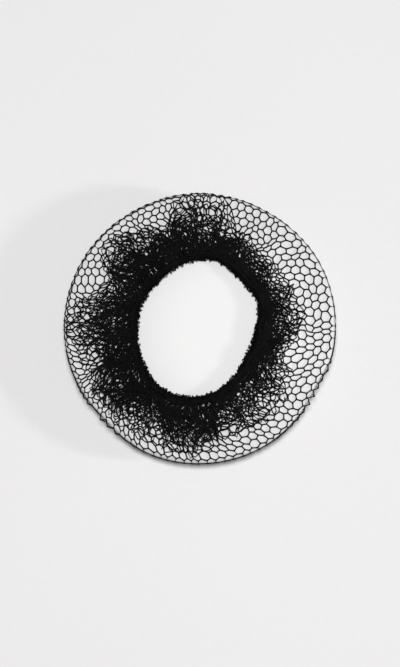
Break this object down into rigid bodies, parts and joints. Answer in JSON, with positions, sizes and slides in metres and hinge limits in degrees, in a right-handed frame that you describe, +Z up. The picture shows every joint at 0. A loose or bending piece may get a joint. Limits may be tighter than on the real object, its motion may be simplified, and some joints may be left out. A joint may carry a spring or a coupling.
{
  "type": "hairnet on a round display form",
  "caption": "Black honeycomb hairnet with a gathered elastic mouth, drawn over a plain round white display form that lies flat.",
  "frame": {"origin": "on the floor, under the middle of the round form", "axes": "+Z up through the net's mouth, which faces up; +X to the right and +Y away from the viewer in the picture"},
  "size_m": [0.19, 0.19, 0.034],
  "materials": {
    "form_white": "matte",
    "net_nylon": "satin",
    "gathered_nylon": "satin",
    "elastic_yarn": "matte"
  },
  "bodies": {
    "root": {"display_form": "form_white", "net_bag": "net_nylon", "gathers": "gathered_nylon", "elastic_band": "elastic_yarn"}
  },
  "joints": []
}
